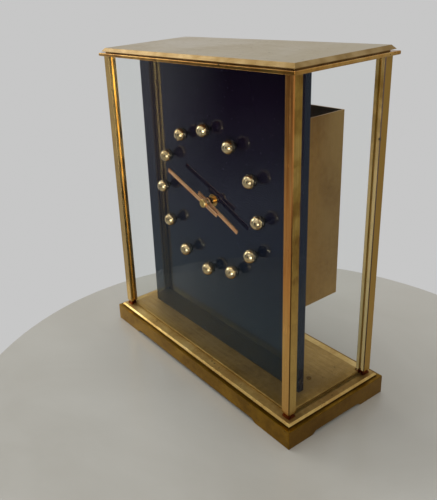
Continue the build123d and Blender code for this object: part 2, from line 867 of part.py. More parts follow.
# Barrel: a toothed drum with a cover, turning on the winding arbor
drum_front = level(great_wheel_level)
drum_back = drum_front + great_wheel_thickness + drum_length
cavity_front = drum_front + drum_web
cavity_back = drum_back - drum_web
barrel_bore = winding_radius + pivot_play
with BuildPart() as barrel_drum:
    with BuildSketch(upright(drum_front + great_wheel_thickness)):
        Polygon(*teeth_outline(barrel_at, barrel_teeth, barrel_module, barrel_direction + 180), align=None)
    extrude(amount=great_wheel_thickness)
    with BuildSketch(upright(cavity_back)):
        with Locations(barrel_at):
            Circle(drum_radius)
    extrude(amount=cavity_back - drum_front - great_wheel_thickness)
    with BuildSketch(upright(cavity_back)):
        with Locations(barrel_at):
            Circle(drum_radius - drum_wall)
    extrude(amount=cavity_back - cavity_front, mode=Mode.SUBTRACT)
    with BuildSketch(upright(cavity_back)):
        with Locations(barrel_at):
            Circle(barrel_bore)
    extrude(amount=cavity_back - drum_front, mode=Mode.SUBTRACT)
finish(barrel_drum, "barrel_drum")

with BuildPart() as barrel_cover:
    with BuildSketch(upright(drum_back)):
        with Locations(barrel_at):
            Circle(drum_radius)
            Circle(barrel_bore, mode=Mode.SUBTRACT)
    extrude(amount=drum_web)
finish(barrel_cover, "barrel_cover")

# Mainspring: a flat spiral ribbon from near the hub to the drum's wall
spring_inside = winding_hub_radius + ratchet_gap
spring_outside = drum_radius - drum_wall - ratchet_gap
spring_pitch = (spring_outside - mainspring_ribbon - spring_inside) / mainspring_turns
spring_front = cavity_front + end_shake
spring_back = cavity_back - end_shake


def spiral_ribbon(centre, inside, pitch, turns, ribbon, first, last):
    """A ribbon wound in half circles about two centres, from depth first to depth last."""
    with BuildPart() as ribbon_part:
        with BuildSketch(upright(last)):
            with BuildLine():
                for edge in (0, ribbon):
                    for half in range(2 * turns):
                        radius = inside + edge + half * pitch / 2
                        shift = 0 if half % 2 == 0 else pitch / 2
                        start = 0 if half % 2 == 0 else 180
                        CenterArc((centre[0] + shift, centre[1]), radius, start, 180)
                for radius_step in (0, 2 * turns):
                    radius = inside + radius_step * pitch / 2
                    Line((centre[0] + radius, centre[1]), (centre[0] + radius + ribbon, centre[1]))
            make_face()
        extrude(amount=last - first)
    return ribbon_part


mainspring = spiral_ribbon(
    barrel_at, spring_inside, spring_pitch, mainspring_turns, mainspring_ribbon, spring_front, spring_back
)
finish(mainspring, "mainspring")

# Winding arbor: from the front plate through the barrel, the back plate and the cover
key_front = cover_back + key_gap
key_back = key_front + key_length
winding_arbor = stepped_rod(
    barrel_at,
    (
        (front_plate_front, key_back - key_gap, winding_radius),
        (cavity_front + end_shake, cavity_back - end_shake, winding_hub_radius),
    ),
)
finish(winding_arbor, "winding_arbor")

# Ratchet wheel on the winding arbor, with steep saw teeth
ratchet_front = back_plate_back + ratchet_gap
ratchet_root = ratchet_radius - ratchet_tooth_height
tooth_pitch = 360 / ratchet_teeth
ratchet_tooth = (
    (ratchet_root, 0), (ratchet_radius, ratchet_tip_share), (ratchet_root, ratchet_foot_share)
)
with BuildPart() as ratchet_wheel:
    with BuildSketch(upright(ratchet_front + ratchet_thickness)):
        Polygon(
            *[
                from_point(barrel_at, radius, click_direction + (tooth + share) * tooth_pitch)
                for tooth in range(ratchet_teeth)
                for radius, share in ratchet_tooth
            ],
            align=None,
        )
        with Locations(barrel_at):
            Circle(winding_radius + fit_play, mode=Mode.SUBTRACT)
    extrude(amount=ratchet_thickness)
finish(ratchet_wheel, "ratchet_wheel")

# Click: a pawl whose square nose stands against the steep side of a ratchet tooth
nose_direction = click_direction - click_side_gap
click_clear_radius = ratchet_radius + click_gap
click_outline = [
    from_point(barrel_at, ratchet_root + click_gap, nose_direction),
    from_point(barrel_at, ratchet_radius + click_nose_rise, nose_direction),
    from_point(barrel_at, click_distance + click_eye_radius, click_direction - click_lead),
    from_point(barrel_at, click_distance - click_eye_radius, click_direction - click_lead),
    from_point(barrel_at, click_clear_radius, nose_direction - tooth_pitch / 2),
]
with BuildPart() as click:
    with BuildSketch(upright(ratchet_front + click_thickness)):
        with Locations(click_at):
            Circle(click_eye_radius)
        Polygon(*click_outline, align=None)
        with Locations(click_at):
            Circle(stud_radius + pivot_play, mode=Mode.SUBTRACT)
    extrude(amount=click_thickness)
finish(click, "click")

# Click spring: a coil round the screw, an arm along the click and a foot down to the back plate
click_spring_front = ratchet_front + click_thickness + end_shake
click_spring_back = click_spring_front + click_spring_wire
with BuildPart() as click_spring:
    with BuildSketch(upright(click_spring_back)):
        for reach, direction in (
            (click_spring_arm, click_spring_arm_direction), (click_spring_foot, click_spring_foot_direction)
        ):
            with Locations(from_point(click_at, reach / 2, direction)):
                Rectangle(reach, click_spring_wire, rotation=direction)
        with Locations(click_at):
            Circle(click_spring_radius)
            Circle(stud_radius + pivot_play, mode=Mode.SUBTRACT)
    extrude(amount=click_spring_wire)
    with BuildSketch(upright(click_spring_back)):
        with Locations(from_point(click_at, click_spring_foot, click_spring_foot_direction)):
            Circle(click_spring_wire)
    extrude(amount=click_spring_back - back_plate_back)
finish(click_spring, "click_spring")

click_head_front = click_spring_back + end_shake
click_screw = stepped_rod(
    click_at,
    (
        (back_plate_front, click_head_front, stud_radius),
        (click_head_front, click_head_front + click_head_thickness, stud_head_radius),
    ),
)
finish(click_screw, "click_screw")

# Centre arbor, its wheel, and the setting knob at the back
centre_arbor_back = key_front + knob_length
centre_pinion_front = level(great_wheel_level) - pinion_overhang
centre_pinion_back = level(great_wheel_level) + great_wheel_thickness + pinion_overhang
with BuildPart() as centre_arbor:
    with BuildSketch(upright(centre_arbor_back - key_gap)):
        with Locations(centre_at):
            Circle(pivot_radius)
    extrude(amount=centre_arbor_back - key_gap - arbor_end - end_shake)
    with BuildSketch(upright(back_plate_front - end_shake)):
        with Locations(centre_at):
            Circle(arbor_radius)
    extrude(amount=back_plate_front - front_plate_back - 2 * end_shake)
    with BuildSketch(upright(centre_pinion_back)):
        Polygon(
            *teeth_outline(
                centre_at, centre_pinion_teeth, barrel_module, barrel_direction + 180 / centre_pinion_teeth
            ),
            align=None,
        )
    extrude(amount=centre_pinion_back - centre_pinion_front)
finish(centre_arbor, "centre_arbor")

centre_wheel = crossed_wheel(
    centre_at, centre_teeth, centre_module, third_direction, level(centre_wheel_level), wheel_thickness,
    arbor_radius + fit_play,
)
finish(centre_wheel, "centre_wheel")

with BuildPart() as setting_knob:
    with BuildSketch(upright(centre_arbor_back)):
        with Locations(centre_at):
            Circle(knob_radius)
        with Locations(centre_at):
            with PolarLocations(knob_radius, knob_flutes):
                Circle(flute_radius, mode=Mode.SUBTRACT)
    extrude(amount=knob_length)
    with BuildSketch(upright(centre_arbor_back - key_gap)):
        with Locations(centre_at):
            Circle(pivot_radius + fit_play)
    extrude(amount=knob_length - key_gap, mode=Mode.SUBTRACT)
finish(setting_knob, "setting_knob")

# Winding key: a round stem and a pair of wings
with BuildPart() as winding_key:
    with BuildSketch(upright(key_back)):
        with Locations(barrel_at):
            Circle(key_stem_radius)
    extrude(amount=key_length)
    with Locations((barrel_at[0], key_back - key_wing_length / 2, barrel_at[1])):
        Box(key_wing_span, key_wing_length, key_wing_thickness)
    chamfer(winding_key.edges().filter_by(Axis.Z), key_wing_bevel)
    with BuildSketch(upright(key_back - key_gap)):
        with Locations(barrel_at):
            Circle(winding_radius + fit_play)
    extrude(amount=key_length - key_gap, mode=Mode.SUBTRACT)
finish(winding_key, "winding_key")


# Arbors cut in one piece with their pinions, carrying a crossed wheel
def pinion_arbor(centre, teeth, module, direction, pinion_level, pinion_length, radius, pivot):
    """A stepped arbor between the plates, with its pinion."""
    pinion_back = level(pinion_level) + pinion_length
    with BuildPart() as arbor:
        with BuildSketch(upright(back_plate_back)):
            with Locations(centre):
                Circle(pivot)
        extrude(amount=back_plate_back - front_plate_front)
        with BuildSketch(upright(back_plate_front - end_shake)):
            with Locations(centre):
                Circle(radius)
        extrude(amount=back_plate_front - front_plate_back - 2 * end_shake)
        with BuildSketch(upright(pinion_back)):
            Polygon(*teeth_outline(centre, teeth, module, direction), align=None)
        extrude(amount=pinion_length)
    return arbor


third_arbor = pinion_arbor(
    third_at, third_pinion_teeth, centre_module, mesh_phase(third_direction, third_pinion_teeth),
    centre_wheel_level - pinion_overhang, wheel_thickness + 2 * pinion_overhang, arbor_radius, pivot_radius,
)
finish(third_arbor, "third_arbor")
third_wheel = crossed_wheel(
    third_at, third_teeth, third_module, escape_direction, level(third_wheel_level), wheel_thickness,
    arbor_radius + fit_play,
)
finish(third_wheel, "third_wheel")

escape_arbor = pinion_arbor(
    escape_at, escape_pinion_teeth, third_module, mesh_phase(escape_direction, escape_pinion_teeth),
    third_wheel_level - pinion_overhang, wheel_thickness + 2 * pinion_overhang, small_arbor_radius,
    small_pivot_radius,
)
finish(escape_arbor, "escape_arbor")

# Escape wheel: pointed teeth, set a quarter pitch off the pallets
escape_pitch = 360 / escape_teeth
escape_root = escape_radius - escape_tooth_height
escape_tooth = (
    (escape_root, escape_heel_share), (escape_radius, escape_tip_share), (escape_root, escape_toe_share)
)
first_tooth = lever_direction + pallet_half_span
with BuildPart() as escape_wheel:
    with BuildSketch(upright(level(escape_wheel_level) + thin_wheel_thickness)):
        Polygon(
            *[
                from_point(escape_at, radius, first_tooth + (tooth + share) * escape_pitch)
                for tooth in range(escape_teeth)
                for radius, share in escape_tooth
            ],
            align=None,
        )
        with Locations(escape_at):
            Circle(escape_root - escape_rim_width, mode=Mode.SUBTRACT)
            Circle(hub_radius)
            for spoke in range(spoke_count // 2):
                Rectangle(2 * escape_root - escape_rim_width, escape_rim_width,
                          rotation=spoke * 360 / spoke_count)
            Circle(small_arbor_radius + fit_play, mode=Mode.SUBTRACT)
    extrude(amount=thin_wheel_thickness)
finish(escape_wheel, "escape_wheel")

# Lever: its arbor, the arm to the balance with an open fork, and the pallet bar
pallet_radius = escape_radius + pallet_reach
pallet_places = [
    from_point(escape_at, pallet_radius + pallet_width / 2, lever_direction + side * pallet_half_span)
    for side in (-1, 1)
]
fork_reach = balance_distance - impulse_pin_place
fork_end_x = lever_at[0] - fork_reach - lever_fork_length / 4
pallet_bar_x = pallet_places[0][0] - pallet_length / 2
pallet_bar_height = abs(pallet_places[1][1] - pallet_places[0][1]) + pallet_width
with BuildPart() as pallet_lever:
    with BuildSketch(upright(level(escape_wheel_level) + thin_wheel_thickness)):
        with Locations(((fork_end_x + pallet_bar_x) / 2, lever_at[1])):
            Rectangle(pallet_bar_x - fork_end_x, lever_width)
        with Locations((fork_end_x + lever_fork_length / 2, lever_at[1])):
            Rectangle(lever_fork_length, lever_fork_width)
        with Locations((pallet_bar_x, lever_at[1])):
            Rectangle(pallet_bar_width, pallet_bar_height)
        with Locations(*pallet_places):
            Rectangle(pallet_length, pallet_width)
        with Locations((fork_end_x + fork_slot_depth / 2, lever_at[1])):
            Rectangle(fork_slot_depth, 2 * (impulse_pin_radius + pin_play), mode=Mode.SUBTRACT)
    extrude(amount=thin_wheel_thickness)
    with BuildSketch(upright(back_plate_back)):
        with Locations(lever_at):
            Circle(small_pivot_radius)
    extrude(amount=back_plate_back - front_plate_front)
finish(pallet_lever, "pallet_lever")

# Balance wheel on its staff, with the roller and the impulse pin that sits in the fork
roller_front = level(escape_wheel_level) + thin_wheel_thickness + ratchet_gap
pin_at = from_point(balance_at, impulse_pin_place, lever_direction + 180)
with BuildPart() as balance_wheel:
    with BuildSketch(upright(level(balance_level) + balance_thickness)):
        with Locations(balance_at):
            Circle(balance_radius)
            Circle(balance_radius - balance_rim, mode=Mode.SUBTRACT)
            Rectangle(2 * balance_radius - balance_rim, spoke_width)
            Circle(balance_hub_radius)
    extrude(amount=balance_thickness)
    with BuildSketch(upright(roller_front + roller_thickness)):
        with Locations(balance_at):
            Circle(roller_radius)
    extrude(amount=roller_thickness)
    with BuildSketch(upright(roller_front)):
        with Locations(pin_at):
            Circle(impulse_pin_radius)
    extrude(amount=thin_wheel_thickness)
    with BuildSketch(upright(back_plate_back)):
        with Locations(balance_at):
            Circle(small_pivot_radius)
    extrude(amount=back_plate_back - front_plate_front)
finish(balance_wheel, "balance_wheel")

hairspring_pitch = (hairspring_outer - hairspring_inner) / hairspring_turns
hairspring = spiral_ribbon(
    balance_at, hairspring_inner, hairspring_pitch, hairspring_turns, hairspring_ribbon,
    level(hairspring_level), level(hairspring_level) + hairspring_height,
)
finish(hairspring, "hairspring")

# Stud that carries the hairspring's outer end from the back plate
with BuildPart() as hairspring_stud:
    with BuildSketch(upright(back_plate_front)):
        with Locations((balance_at[0] + hairspring_outer + hairspring_ribbon + stud_size / 2 + fit_play,
                        balance_at[1])):
            Rectangle(stud_size, stud_size)
    extrude(amount=back_plate_front - level(hairspring_level))
finish(hairspring_stud, "hairspring_stud")

# Movement cover: the back and two sides in one bent sheet, with flanges on the panel
cover_front = panel_back
key_hole_radius = key_stem_radius + cover_hole_play
with BuildPart() as movement_cover:
    with BuildSketch(Plane.XY.offset(cover_bottom)):
        outer_depth = cover_back - cover_front
        with Locations((0, (cover_front + cover_back) / 2)):
            Rectangle(2 * cover_half_width, outer_depth)
        with Locations((0, (cover_front + cover_back) / 2)):
            Rectangle(2 * (cover_half_width - cover_sheet), outer_depth - 2 * cover_sheet,
                      mode=Mode.SUBTRACT)
        with Locations((0, cover_front)):
            Rectangle(2 * (cover_half_width - cover_sheet - cover_flange), 2 * cover_sheet,
                      mode=Mode.SUBTRACT)
    extrude(amount=cover_height)
    with BuildSketch(upright(cover_back)):
        with Locations(centre_at, barrel_at):
            Circle(key_hole_radius)
    extrude(amount=cover_sheet, mode=Mode.SUBTRACT)
    with BuildSketch(upright(cover_front + cover_sheet)):
        with Locations(*cover_screw_places):
            Circle(cover_screw_radius + fit_play)
    extrude(amount=cover_sheet, mode=Mode.SUBTRACT)
finish(movement_cover, "movement_cover")

with BuildPart() as cover_screws:
    with BuildSketch(upright(cover_front + cover_sheet)):
        with Locations(*cover_screw_places):
            Circle(cover_screw_radius)
    extrude(amount=cover_sheet + foot_stud_depth - panel_play)
    with BuildSketch(upright(cover_front + cover_sheet + floor_screw_head)):
        with Locations(*cover_screw_places):
            Circle(floor_screw_radius)
    extrude(amount=floor_screw_head)
finish(cover_screws, "cover_screws")
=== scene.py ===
# %% [markdown]
# # A table clock in brass and glass
#
# The clock stands on a low plinth. Four square columns carry a bevelled top, and glass closes
# the front and both sides. Inside stands a dark glossy panel with twelve ball markers and two
# bar hands, and behind it a brass cover hides the movement.
#
# Every solid arrives already measured and in place, in metres, so this lesson is about finish:
# edges, brass in several states, acrylic, glass, light and the camera.

# %% Load the measured clock
import math

import bmesh
import bpy
from mathutils import Matrix, Vector


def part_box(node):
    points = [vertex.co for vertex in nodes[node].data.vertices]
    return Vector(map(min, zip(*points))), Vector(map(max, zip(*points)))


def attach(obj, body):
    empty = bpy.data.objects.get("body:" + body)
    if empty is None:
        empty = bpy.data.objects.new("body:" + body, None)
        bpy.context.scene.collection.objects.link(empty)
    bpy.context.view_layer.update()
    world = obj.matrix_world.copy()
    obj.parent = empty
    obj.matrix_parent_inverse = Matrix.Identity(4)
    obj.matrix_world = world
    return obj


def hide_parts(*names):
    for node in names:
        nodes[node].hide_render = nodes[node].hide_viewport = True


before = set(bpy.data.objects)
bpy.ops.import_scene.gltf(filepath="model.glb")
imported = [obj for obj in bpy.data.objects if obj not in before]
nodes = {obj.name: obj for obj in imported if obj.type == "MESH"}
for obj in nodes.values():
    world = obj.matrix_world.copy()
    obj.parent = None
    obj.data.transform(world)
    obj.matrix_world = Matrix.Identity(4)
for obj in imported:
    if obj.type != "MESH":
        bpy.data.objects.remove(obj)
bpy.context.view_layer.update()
mm = 0.001

# %% [markdown]
# ## The camera
#
# The photograph was taken from the front right, a little above the clock. A camera is set by
# its place, three turns and a lens. Heading turns it about the vertical, tilt raises it from
# looking straight down, and roll leans it. The picture is a cut from a wider one, so its middle
# isn't the middle of the lens, and the shift moves the frame without turning the camera.

# %% Place the camera
picture_wide, picture_high = 437, 500
focal_length_px = 583.163
lens_middle_px = (139.767, 211.043)
eye = Vector((297.11, -255.10, 271.19)) * mm
heading, tilt, roll = 58.842, 68.975, -4.826
sensor_mm = 36.0
nearest, furthest = 0.01, 20

camera_data = bpy.data.cameras.new("camera")
camera_data.sensor_width = sensor_mm
camera_data.lens = sensor_mm * focal_length_px / picture_high
camera_data.shift_x = (picture_wide / 2 - lens_middle_px[0]) / picture_high
camera_data.shift_y = (lens_middle_px[1] - picture_high / 2) / picture_high
camera_data.clip_start, camera_data.clip_end = nearest, furthest
camera = bpy.data.objects.new("camera", camera_data)
bpy.context.scene.collection.objects.link(camera)
camera.matrix_world = (
    Matrix.Translation(eye)
    @ Matrix.Rotation(math.radians(heading), 4, "Z")
    @ Matrix.Rotation(math.radians(tilt), 4, "X")
    @ Matrix.Rotation(math.radians(roll), 4, "Z")
)
bpy.context.scene.camera = camera
bpy.context.scene.view_settings.view_transform = "Standard"
print("lens", round(camera_data.lens, 2), "mm, shift", round(camera_data.shift_x, 3))

# %% [markdown]
# ## A workbench for finishes
#
# Each finish is one Principled shader with a few nodes in front of it. Nodes can be placed and
# linked by hand, but the same few steps come back every time, so they get short helpers here,
# and each finish below reads as a recipe. Colours are written as they look on a screen, from 0
# to 255, and the shader wants them in proportion to the light itself.

# %% Colours, materials and nodes
def ink(red, green, blue):
    """A screen colour, 0 to 255, as the linear colour that shaders use."""
    linear = [
        c / 12.92 if c <= 0.04045 else ((c + 0.055) / 1.055) ** 2.4
        for c in (red / 255, green / 255, blue / 255)
    ]
    return (*linear, 1.0)


def new_finish(name):
    """A material, and its Principled shader."""
    material = bpy.data.materials.new(name)
    material.use_nodes = True
    return material, material.node_tree.nodes["Principled BSDF"]


def put(material, kind, **values):
    """Add a node. Each value sets a property or, where there is none, a socket."""
    node = material.node_tree.nodes.new("ShaderNode" + kind)
    for key, value in values.items():
        if hasattr(node, key):
            setattr(node, key, value)
        else:
            node.inputs[key.replace("_", " ")].default_value = value
    return node


def join(material, start, end):
    """Link an output to an input."""
    material.node_tree.links.new(start, end)


print("materials ready")

# %% [markdown]
# ### Patterns
#
# The pattern of age on metal could be painted on a picture, but a picture has to be wrapped
# round every piece and blurs close up. Noise in real sizes needs no wrapping and stays sharp.
# A ramp turns it into colours, a range turns it into roughness, and two colours can be mixed
# by it.

# %% Helpers for patterns
def noise(material, size, stretch=(1, 1, 1), detail=3.0, rough=0.5, warp=0.0):
    """Cloudy noise with blotches about size metres across, longer along a stretched axis."""
    where = put(material, "TexCoord")
    scale = put(material, "Mapping", Scale=tuple(1 / s for s in stretch))
    cloud = put(material, "TexNoise", Scale=1 / size, Detail=detail, Roughness=rough,
                Distortion=warp)
    join(material, where.outputs["Object"], scale.inputs["Vector"])
    join(material, scale.outputs["Vector"], cloud.inputs["Vector"])
    return cloud.outputs["Fac"]


def spread(material, value, low, high, to_low=0.0, to_high=1.0):
    """Stretch a value from one range to another, and keep it inside."""
    shift = put(material, "MapRange", clamp=True)
    limits = {"From Min": low, "From Max": high, "To Min": to_low, "To Max": to_high}
    for name, number in limits.items():
        shift.inputs[name].default_value = number
    join(material, value, shift.inputs["Value"])
    return shift.outputs["Result"]


def shades(material, value, *stops):
    """Colours along a value: each stop is a place and a colour."""
    ramp = put(material, "ValToRGB")
    steps = ramp.color_ramp.elements
    steps[0].position, steps[0].color = stops[0]
    steps[1].position, steps[1].color = stops[-1]
    for place, colour in stops[1:-1]:
        steps.new(place).color = colour
    join(material, value, ramp.inputs["Fac"])
    return ramp.outputs["Color"]


def blended(material, share, first, second):
    """Two colours, mixed by a share. Either may be an output or a plain colour."""
    mix = put(material, "Mix", data_type="RGBA")
    share_socket, first_socket, second_socket = mix.inputs[0], mix.inputs[6], mix.inputs[7]
    join(material, share, share_socket)
    for colour, socket in ((first, first_socket), (second, second_socket)):
        if isinstance(colour, tuple):
            socket.default_value = colour
        else:
            join(material, colour, socket)
    return mix.outputs[2]


print("patterns ready")

# %% [markdown]
# ### Sums and relief
#
# Shares are joined by plain arithmetic, and multiplying two of them keeps only the places that
# have both. Fine relief could be real geometry, but scratches and pits far thinner than a hair
# would need millions of faces, and a bump tilts the light in the same way.

# %% Helpers for sums and relief
def reckon(material, operation, first, second=0.0):
    """Two numbers joined by arithmetic. Either may be an output or a plain number."""
    maths = put(material, "Math", operation=operation)
    for value, socket in ((first, maths.inputs[0]), (second, maths.inputs[1])):
        if isinstance(value, (int, float)):
            socket.default_value = value
        else:
            join(material, value, socket)
    return maths.outputs[0]


def times(material, first, second):
    """One share multiplied by the other."""
    return reckon(material, "MULTIPLY", first, second)


def toned(material, colour, tone, share, strength=1.0):
    """Turn a colour toward a tone, by a share and a strength."""
    return blended(material, times(material, share, strength), colour, tone)


def raised(material, shader, height, distance):
    """Bump the surface by a height from 0 to 1, over a distance in metres."""
    bump = put(material, "Bump", Strength=1.0, Distance=distance)
    join(material, height, bump.inputs["Height"])
    join(material, bump.outputs["Normal"], shader.inputs["Normal"])


print("sums ready")

# %% [markdown]
# ### Places and directions
#
# Tarnish isn't spread evenly. The place on a piece, and the way in which its surface faces, are
# the same from wherever one looks, so both can steer a colour: marks, and also painted shade
# under edges and in grooves, and painted light and reflections on some sides and heights.

# %% Helpers for places and directions
def coordinate(material, axis, kind="Object"):
    """The place along X, Y or Z in metres, or with the kind Normal the surface's direction."""
    where = put(material, "TexCoord")
    split = put(material, "SeparateXYZ")
    join(material, where.outputs[kind], split.inputs[0])
    return split.outputs[axis]


def facing(material, axis, low, high):
    """0 to 1 as the surface turns toward an axis, either way. 1 is square on it."""
    squarely = reckon(material, "ABSOLUTE", coordinate(material, axis, "Normal"))
    return spread(material, squarely, low, high)


def along(material, axis, low, high):
    """0 below a height or place on an axis, 1 above another, in millimetres."""
    return spread(material, coordinate(material, axis), low * mm, high * mm)


def marked(material, colour, spots, radius, dark=ink(34, 22, 10)):
    """Small dents and spots with ragged edges at known places, in millimetres."""
    ragged = times(material, noise(material, 1.2 * mm), radius * mm)
    where = put(material, "TexCoord")
    for spot in spots:
        gap = put(material, "VectorMath", operation="DISTANCE")
        join(material, where.outputs["Object"], gap.inputs[0])
        gap.inputs[1].default_value = [c * mm for c in spot]
        reach = reckon(material, "ADD", gap.outputs["Value"], ragged)
        inside = spread(material, reach, radius * mm * 1.5, radius * mm * 1.1)
        colour = blended(material, inside, colour, dark)
    return colour


def pitted(material, colour, size, limit, dark=ink(30, 20, 10)):
    """Small dark pits where a noise tops a limit."""
    specks = noise(material, size, detail=1.0)
    return blended(material, spread(material, specks, limit, limit + 0.03), colour, dark)


print("places ready")

# %% [markdown]
# ## Brass that has aged
#
# Brass is a metal, so its colour is the colour of its reflection. What makes old brass look old
# is unevenness: wide clouds of tarnish, finer mottling, brushing, and a roughness that changes
# with them. One recipe covers all the outer brass. Each piece gives it three colours, from
# bright to deep, the least and most roughness, and the direction of its brushing.

# %% A recipe for brass
bright_until, dull_at, deep_from = 0.40, 0.50, 0.62
smooth_below, rough_above = 0.38, 0.62
brush_line = 0.5 * mm


def brass(name, bright, dull, deep, gloss,
          cloud=0.03, mottle=0.004, grain=None, streaks=0.35, relief=0.00002):
    """A brass material, its shader and its colour. Grain stretches the lines of brushing."""
    material, shader = new_finish(name)
    shader.inputs["Metallic"].default_value = 1.0
    wide = noise(material, cloud, detail=4.0, warp=0.6)
    fine = noise(material, mottle, detail=5.0, rough=0.6)
    tarnish = reckon(material, "ADD", times(material, wide, 0.7), times(material, fine, 0.3))
    colour = shades(material, tarnish, (bright_until, bright), (dull_at, dull), (deep_from, deep))
    height, unevenness = fine, tarnish
    if grain:
        height = noise(material, brush_line, stretch=grain, detail=2.0)
        unevenness = reckon(
            material, "ADD", times(material, height, 0.5), times(material, tarnish, 0.5))
        colour = blended(
            material, spread(material, height, 0.35, 0.7, 0.0, streaks), colour, deep)
    join(material, spread(material, unevenness, smooth_below, rough_above, *gloss),
         shader.inputs["Roughness"])
    raised(material, shader, height, relief)
    recolour(material, shader, colour)
    return material, shader, colour


def recolour(material, shader, colour):
    """Give the shader its colour, or one that was worked on further."""
    join(material, colour, shader.inputs["Base Color"])


print("brass recipe ready")

# %% [markdown]
# ### Columns
#
# The near column is orange in front and olive on the side. The orange on the front faces of the
# right columns is a painted warm reflection, and a painted dark line along the slanted corners
# hides the lamp highlight there. A painted reflection of the table makes the columns paler low
# down, and painted light makes them paler on the left. Each face could have a material of its
# own. One material that reads the direction of a face is simpler, and its borders stay soft.

# %% Columns
def on_corner(material):
    """1 on the slanted faces along a column's upright corners."""
    return times(material, facing(material, "Y", 0.2, 0.5), facing(material, "X", 0.2, 0.5))


column_pit, column_pit_limit, column_pit_ink = 1.0 * mm, 0.75, ink(110, 64, 28)
column_brass, shader, lacquer_and_painted_light = brass(
    "column_brass", ink(206, 170, 90), ink(184, 146, 68), ink(140, 102, 42), (0.14, 0.28),
    cloud=0.018, grain=(1, 1, 60), streaks=0.5, relief=0.000012,
)
# Orange tone on the front faces of the right columns: a painted warm reflection.
painted_warm_reflection = shades(
    column_brass, noise(column_brass, 0.0016, stretch=(1, 1, 30), detail=4.0),
    (0.32, ink(232, 170, 96)), (0.5, ink(220, 150, 78)), (0.68, ink(202, 130, 62)),
)
to_the_right, to_the_front = along(column_brass, "X", -60, 80), along(column_brass, "Y", 10, -20)
front_right = times(column_brass, facing(column_brass, "Y", 0.4, 0.9),
                    times(column_brass, to_the_right, to_the_front))
lacquer_and_painted_light = blended(column_brass, front_right, lacquer_and_painted_light, painted_warm_reflection)
painted_reflection_low_down, painted_light_on_the_left = along(column_brass, "Z", 120, 60), along(column_brass, "X", -60, -90)
# Paler low down: a painted reflection of the pale table.
lacquer_and_painted_light = toned(column_brass, lacquer_and_painted_light, ink(216, 180, 104), painted_reflection_low_down, 0.6)
# Dark line on the slanted corners: painted shade that hides the lamp highlight there.
lacquer_and_painted_light = toned(column_brass, lacquer_and_painted_light, ink(58, 32, 14), on_corner(column_brass), 0.92)
# Paler on the left: painted light.
lacquer_and_painted_light = toned(column_brass, lacquer_and_painted_light, ink(238, 200, 128), painted_light_on_the_left, 0.6)
lacquer_and_painted_light = pitted(column_brass, lacquer_and_painted_light, column_pit, column_pit_limit, column_pit_ink)
recolour(column_brass, shader, lacquer_and_painted_light)
print("columns ready")

# %% [markdown]
# ### The back right column
#
# This column catches a long pale highlight. In this room bare metal mirrors the dark panel there
# and goes nearly black. So the highlight is painted: the shader is only half metal with pale
# colours, and a paler tone is painted over the lower part of its front. The real column isn't
# known to have such a finish: it is a painted highlight, fixed to the column, and it stays under
# other light. The dark mark on its corner is seen on the real column.

# %% The column with a painted highlight
highlit_brass, shader, highlit_colour = brass(
    "highlit_brass", ink(250, 218, 140), ink(236, 198, 116), ink(176, 136, 62), (0.30, 0.42),
    cloud=0.02, grain=(1, 1, 60), streaks=0.7, relief=0.0,
)
shader.inputs["Metallic"].default_value = 0.5
outer_side = facing(highlit_brass, "X", 0.5, 0.9)
# A paler tone over the lower front: a painted highlight.
painted_highlight = times(highlit_brass, along(highlit_brass, "Z", 205, 150),
                 facing(highlit_brass, "Y", 0.4, 0.9))
highlit_colour = toned(highlit_brass, highlit_colour, ink(148, 112, 34), outer_side)
highlit_colour = toned(highlit_brass, highlit_colour, ink(255, 238, 176), painted_highlight, 0.7)
# Dark line on the slanted corners: painted shade that hides the lamp highlight there.
highlit_colour = toned(highlit_brass, highlit_colour, ink(54, 32, 12), on_corner(highlit_brass))
highlit_colour = marked(highlit_brass, highlit_colour, [(94.2, 31.9, 178.7), (98.6, 31.0, 178.7)], 1.3)
highlit_colour = pitted(highlit_brass, highlit_colour, column_pit, column_pit_limit, column_pit_ink)
recolour(highlit_brass, shader, highlit_colour)
print("milky column ready")

# %% [markdown]
# ### Top frame
#
# A thin polished frame runs round under the top and over the columns. It is brushed level, so
# its brushing is stretched along both level axes. It has two small dark marks in front.

# %% Top frame
edge_brass, shader, frame_colour = brass(
    "edge_brass", ink(214, 172, 96), ink(200, 150, 74), ink(160, 112, 50), (0.16, 0.28),
    cloud=0.02, grain=(40, 40, 1), relief=0.00001,
)
frame_dents, frame_dent_radius = [(-22.2, -41.1, 226.3), (40.3, -41.1, 227.2)], 0.9
frame_colour = marked(edge_brass, frame_colour, frame_dents, frame_dent_radius)
recolour(edge_brass, shader, pitted(edge_brass, frame_colour, 0.0016, 0.73, ink(90, 50, 22)))
print("top frame ready")

# %% [markdown]
# ### Plinth
#
# The mitred rails of the plinth are the dullest brass of the clock, brown and finely pitted.
# The ends are painted darker than the front, as painted shade. The left end isn't seen, and is
# made the same. A painted shadow runs as a dark line under the bead. Direction and height find
# both.

# %% Plinth
plinth_brass, shader, plinth_colour = brass(
    "plinth_brass", ink(168, 126, 26), ink(152, 112, 20), ink(128, 92, 14), (0.28, 0.40),
    cloud=0.04, mottle=0.004, relief=0.00001,
)
shaded_ends, shadow_under_bead = facing(plinth_brass, "X", 0.5, 0.9), along(plinth_brass, "Z", 12.6, 13.1)
# Ends darker than the front: painted shade.
plinth_colour = toned(plinth_brass, plinth_colour, ink(104, 70, 8), shaded_ends, 0.5)
plinth_colour = pitted(plinth_brass, plinth_colour, 0.0011, 0.72)
# Dark line under the bead: a painted shadow in the undercut.
plinth_colour = toned(plinth_brass, plinth_colour, ink(44, 28, 12), shadow_under_bead, 0.45)
recolour(plinth_brass, shader, plinth_colour)
print("plinth ready")
